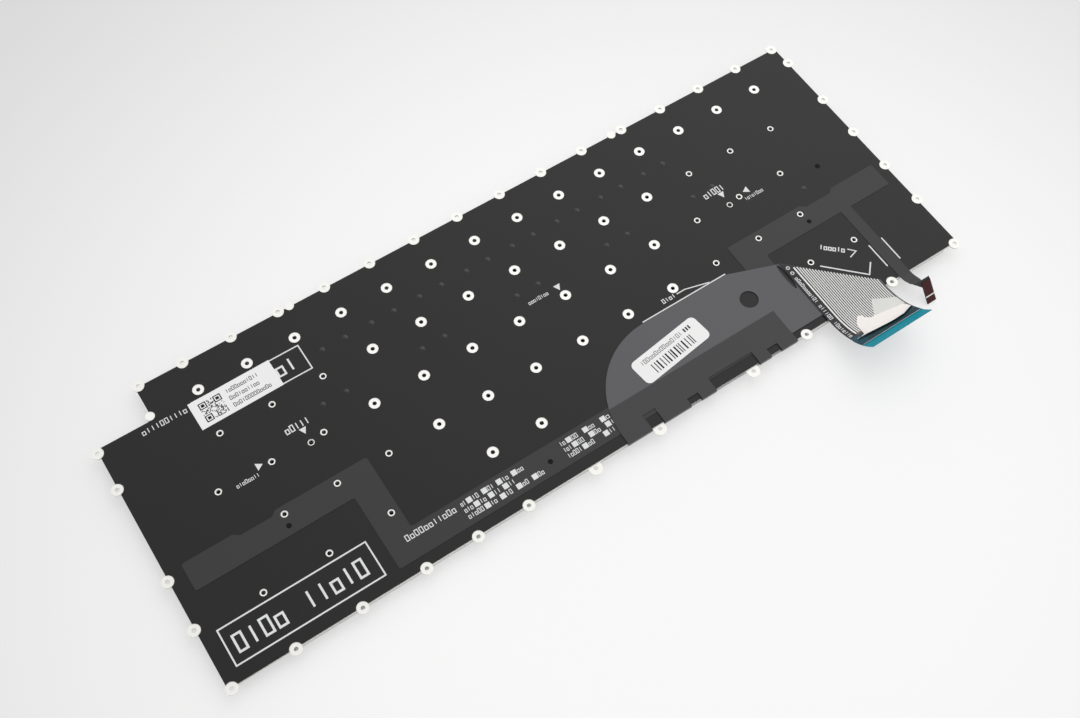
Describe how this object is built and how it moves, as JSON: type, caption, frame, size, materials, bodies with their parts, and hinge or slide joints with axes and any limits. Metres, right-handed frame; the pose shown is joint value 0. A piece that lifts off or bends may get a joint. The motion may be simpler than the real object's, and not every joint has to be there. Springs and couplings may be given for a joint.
{
  "type": "laptop replacement keyboard",
  "caption": "Flat laptop keyboard module lying back up: black film over a screw-holed plate, sprung keycaps below, a folded membrane tail and a backlight tail.",
  "frame": {"origin": "middle of the film outline, on the plane of the key faces that the part lies on", "axes": "+X along the long side to the right of the picture, +Y towards the function row, +Z out of the back film"},
  "size_m": [0.2942, 0.1267, 0.016],
  "materials": {
    "plate": "bright satin sheet, stamped",
    "guide": "clear film, milky at its edge",
    "film": "black film, fine matt grain",
    "circuit": "charcoal coated flexible circuit",
    "lamp": "moulded lamp body",
    "membrane": "grey printed polyester sheet, soft sheen",
    "tape": "dull black adhesive tape",
    "sticker": "coated white label paper",
    "label": "coated white label paper",
    "stiffener": "teal polyester backing",
    "liner": "torn white release paper",
    "contacts": "dark red-brown polyimide",
    "lever": "moulded lever",
    "dome": "milky silicone rubber",
    "wire": "drawn wire",
    "keycap": "black moulded cap, soft matt"
  },
  "bodies": {
    "base": {"backlight_contacts": "contacts", "barcode_sticker": "sticker", "fold_tape": "tape", "function_keys": "keycap", "id_label": "label", "led_circuit": "circuit", "leds": "lamp", "light_guide": "guide", "membrane_circuit": "membrane", "reflector_film": "film", "rubber_domes": "dome", "scissor_levers": "lever", "side_keys": "keycap", "stabiliser_wires": "wire", "support_plate": "plate", "tail_liner": "liner", "tail_stiffener": "stiffener"},
    "key_0": {"key_0": "keycap"},
    "key_1": {"key_1": "keycap"},
    "key_2": {"key_2": "keycap"},
    "key_3": {"key_3": "keycap"},
    "key_4": {"key_4": "keycap"},
    "key_5": {"key_5": "keycap"},
    "key_6": {"key_6": "keycap"},
    "key_7": {"key_7": "keycap"},
    "key_8": {"key_8": "keycap"},
    "key_9": {"key_9": "keycap"},
    "key_a": {"key_a": "keycap"},
    "key_b": {"key_b": "keycap"},
    "key_backspace": {"key_backspace": "keycap"},
    "key_c": {"key_c": "keycap"},
    "key_caps_lock": {"key_caps_lock": "keycap"},
    "key_d": {"key_d": "keycap"},
    "key_e": {"key_e": "keycap"},
    "key_enter": {"key_enter": "keycap"},
    "key_f": {"key_f": "keycap"},
    "key_g": {"key_g": "keycap"},
    "key_h": {"key_h": "keycap"},
    "key_i": {"key_i": "keycap"},
    "key_j": {"key_j": "keycap"},
    "key_k": {"key_k": "keycap"},
    "key_l": {"key_l": "keycap"},
    "key_left_shift": {"key_left_shift": "keycap"},
    "key_m": {"key_m": "keycap"},
    "key_n": {"key_n": "keycap"},
    "key_o": {"key_o": "keycap"},
    "key_p": {"key_p": "keycap"},
    "key_q": {"key_q": "keycap"},
    "key_r": {"key_r": "keycap"},
    "key_right_shift": {"key_right_shift": "keycap"},
    "key_s": {"key_s": "keycap"},
    "key_space": {"key_space": "keycap"},
    "key_t": {"key_t": "keycap"},
    "key_tab": {"key_tab": "keycap"},
    "key_u": {"key_u": "keycap"},
    "key_v": {"key_v": "keycap"},
    "key_w": {"key_w": "keycap"},
    "key_x": {"key_x": "keycap"},
    "key_y": {"key_y": "keycap"},
    "key_z": {"key_z": "keycap"}
  },
  "joints": [
    {"name": "press_0", "type": "slide", "parent": "base", "child": "key_0", "axis": [0, 0, 1], "range_m": [0, 0.0013], "stiffness_N_per_m": 250, "springref_m": -0.0012},
    {"name": "press_1", "type": "slide", "parent": "base", "child": "key_1", "axis": [0, 0, 1], "range_m": [0, 0.0013], "stiffness_N_per_m": 250, "springref_m": -0.0012},
    {"name": "press_2", "type": "slide", "parent": "base", "child": "key_2", "axis": [0, 0, 1], "range_m": [0, 0.0013], "stiffness_N_per_m": 250, "springref_m": -0.0012},
    {"name": "press_3", "type": "slide", "parent": "base", "child": "key_3", "axis": [0, 0, 1], "range_m": [0, 0.0013], "stiffness_N_per_m": 250, "springref_m": -0.0012},
    {"name": "press_4", "type": "slide", "parent": "base", "child": "key_4", "axis": [0, 0, 1], "range_m": [0, 0.0013], "stiffness_N_per_m": 250, "springref_m": -0.0012},
    {"name": "press_5", "type": "slide", "parent": "base", "child": "key_5", "axis": [0, 0, 1], "range_m": [0, 0.0013], "stiffness_N_per_m": 250, "springref_m": -0.0012},
    {"name": "press_6", "type": "slide", "parent": "base", "child": "key_6", "axis": [0, 0, 1], "range_m": [0, 0.0013], "stiffness_N_per_m": 250, "springref_m": -0.0012},
    {"name": "press_7", "type": "slide", "parent": "base", "child": "key_7", "axis": [0, 0, 1], "range_m": [0, 0.0013], "stiffness_N_per_m": 250, "springref_m": -0.0012},
    {"name": "press_8", "type": "slide", "parent": "base", "child": "key_8", "axis": [0, 0, 1], "range_m": [0, 0.0013], "stiffness_N_per_m": 250, "springref_m": -0.0012},
    {"name": "press_9", "type": "slide", "parent": "base", "child": "key_9", "axis": [0, 0, 1], "range_m": [0, 0.0013], "stiffness_N_per_m": 250, "springref_m": -0.0012},
    {"name": "press_a", "type": "slide", "parent": "base", "child": "key_a", "axis": [0, 0, 1], "range_m": [0, 0.0013], "stiffness_N_per_m": 250, "springref_m": -0.0012},
    {"name": "press_b", "type": "slide", "parent": "base", "child": "key_b", "axis": [0, 0, 1], "range_m": [0, 0.0013], "stiffness_N_per_m": 250, "springref_m": -0.0012},
    {"name": "press_backspace", "type": "slide", "parent": "base", "child": "key_backspace", "axis": [0, 0, 1], "range_m": [0, 0.0013], "stiffness_N_per_m": 250, "springref_m": -0.0012},
    {"name": "press_c", "type": "slide", "parent": "base", "child": "key_c", "axis": [0, 0, 1], "range_m": [0, 0.0013], "stiffness_N_per_m": 250, "springref_m": -0.0012},
    {"name": "press_caps_lock", "type": "slide", "parent": "base", "child": "key_caps_lock", "axis": [0, 0, 1], "range_m": [0, 0.0013], "stiffness_N_per_m": 250, "springref_m": -0.0012},
    {"name": "press_d", "type": "slide", "parent": "base", "child": "key_d", "axis": [0, 0, 1], "range_m": [0, 0.0013], "stiffness_N_per_m": 250, "springref_m": -0.0012},
    {"name": "press_e", "type": "slide", "parent": "base", "child": "key_e", "axis": [0, 0, 1], "range_m": [0, 0.0013], "stiffness_N_per_m": 250, "springref_m": -0.0012},
    {"name": "press_enter", "type": "slide", "parent": "base", "child": "key_enter", "axis": [0, 0, 1], "range_m": [0, 0.0013], "stiffness_N_per_m": 250, "springref_m": -0.0012},
    {"name": "press_f", "type": "slide", "parent": "base", "child": "key_f", "axis": [0, 0, 1], "range_m": [0, 0.0013], "stiffness_N_per_m": 250, "springref_m": -0.0012},
    {"name": "press_g", "type": "slide", "parent": "base", "child": "key_g", "axis": [0, 0, 1], "range_m": [0, 0.0013], "stiffness_N_per_m": 250, "springref_m": -0.0012},
    {"name": "press_h", "type": "slide", "parent": "base", "child": "key_h", "axis": [0, 0, 1], "range_m": [0, 0.0013], "stiffness_N_per_m": 250, "springref_m": -0.0012},
    {"name": "press_i", "type": "slide", "parent": "base", "child": "key_i", "axis": [0, 0, 1], "range_m": [0, 0.0013], "stiffness_N_per_m": 250, "springref_m": -0.0012},
    {"name": "press_j", "type": "slide", "parent": "base", "child": "key_j", "axis": [0, 0, 1], "range_m": [0, 0.0013], "stiffness_N_per_m": 250, "springref_m": -0.0012},
    {"name": "press_k", "type": "slide", "parent": "base", "child": "key_k", "axis": [0, 0, 1], "range_m": [0, 0.0013], "stiffness_N_per_m": 250, "springref_m": -0.0012},
    {"name": "press_l", "type": "slide", "parent": "base", "child": "key_l", "axis": [0, 0, 1], "range_m": [0, 0.0013], "stiffness_N_per_m": 250, "springref_m": -0.0012},
    {"name": "press_left_shift", "type": "slide", "parent": "base", "child": "key_left_shift", "axis": [0, 0, 1], "range_m": [0, 0.0013], "stiffness_N_per_m": 250, "springref_m": -0.0012},
    {"name": "press_m", "type": "slide", "parent": "base", "child": "key_m", "axis": [0, 0, 1], "range_m": [0, 0.0013], "stiffness_N_per_m": 250, "springref_m": -0.0012},
    {"name": "press_n", "type": "slide", "parent": "base", "child": "key_n", "axis": [0, 0, 1], "range_m": [0, 0.0013], "stiffness_N_per_m": 250, "springref_m": -0.0012},
    {"name": "press_o", "type": "slide", "parent": "base", "child": "key_o", "axis": [0, 0, 1], "range_m": [0, 0.0013], "stiffness_N_per_m": 250, "springref_m": -0.0012},
    {"name": "press_p", "type": "slide", "parent": "base", "child": "key_p", "axis": [0, 0, 1], "range_m": [0, 0.0013], "stiffness_N_per_m": 250, "springref_m": -0.0012},
    {"name": "press_q", "type": "slide", "parent": "base", "child": "key_q", "axis": [0, 0, 1], "range_m": [0, 0.0013], "stiffness_N_per_m": 250, "springref_m": -0.0012},
    {"name": "press_r", "type": "slide", "parent": "base", "child": "key_r", "axis": [0, 0, 1], "range_m": [0, 0.0013], "stiffness_N_per_m": 250, "springref_m": -0.0012},
    {"name": "press_right_shift", "type": "slide", "parent": "base", "child": "key_right_shift", "axis": [0, 0, 1], "range_m": [0, 0.0013], "stiffness_N_per_m": 250, "springref_m": -0.0012},
    {"name": "press_s", "type": "slide", "parent": "base", "child": "key_s", "axis": [0, 0, 1], "range_m": [0, 0.0013], "stiffness_N_per_m": 250, "springref_m": -0.0012},
    {"name": "press_space", "type": "slide", "parent": "base", "child": "key_space", "axis": [0, 0, 1], "range_m": [0, 0.0013], "stiffness_N_per_m": 250, "springref_m": -0.0012},
    {"name": "press_t", "type": "slide", "parent": "base", "child": "key_t", "axis": [0, 0, 1], "range_m": [0, 0.0013], "stiffness_N_per_m": 250, "springref_m": -0.0012},
    {"name": "press_tab", "type": "slide", "parent": "base", "child": "key_tab", "axis": [0, 0, 1], "range_m": [0, 0.0013], "stiffness_N_per_m": 250, "springref_m": -0.0012},
    {"name": "press_u", "type": "slide", "parent": "base", "child": "key_u", "axis": [0, 0, 1], "range_m": [0, 0.0013], "stiffness_N_per_m": 250, "springref_m": -0.0012},
    {"name": "press_v", "type": "slide", "parent": "base", "child": "key_v", "axis": [0, 0, 1], "range_m": [0, 0.0013], "stiffness_N_per_m": 250, "springref_m": -0.0012},
    {"name": "press_w", "type": "slide", "parent": "base", "child": "key_w", "axis": [0, 0, 1], "range_m": [0, 0.0013], "stiffness_N_per_m": 250, "springref_m": -0.0012},
    {"name": "press_x", "type": "slide", "parent": "base", "child": "key_x", "axis": [0, 0, 1], "range_m": [0, 0.0013], "stiffness_N_per_m": 250, "springref_m": -0.0012},
    {"name": "press_y", "type": "slide", "parent": "base", "child": "key_y", "axis": [0, 0, 1], "range_m": [0, 0.0013], "stiffness_N_per_m": 250, "springref_m": -0.0012},
    {"name": "press_z", "type": "slide", "parent": "base", "child": "key_z", "axis": [0, 0, 1], "range_m": [0, 0.0013], "stiffness_N_per_m": 250, "springref_m": -0.0012}
  ]
}
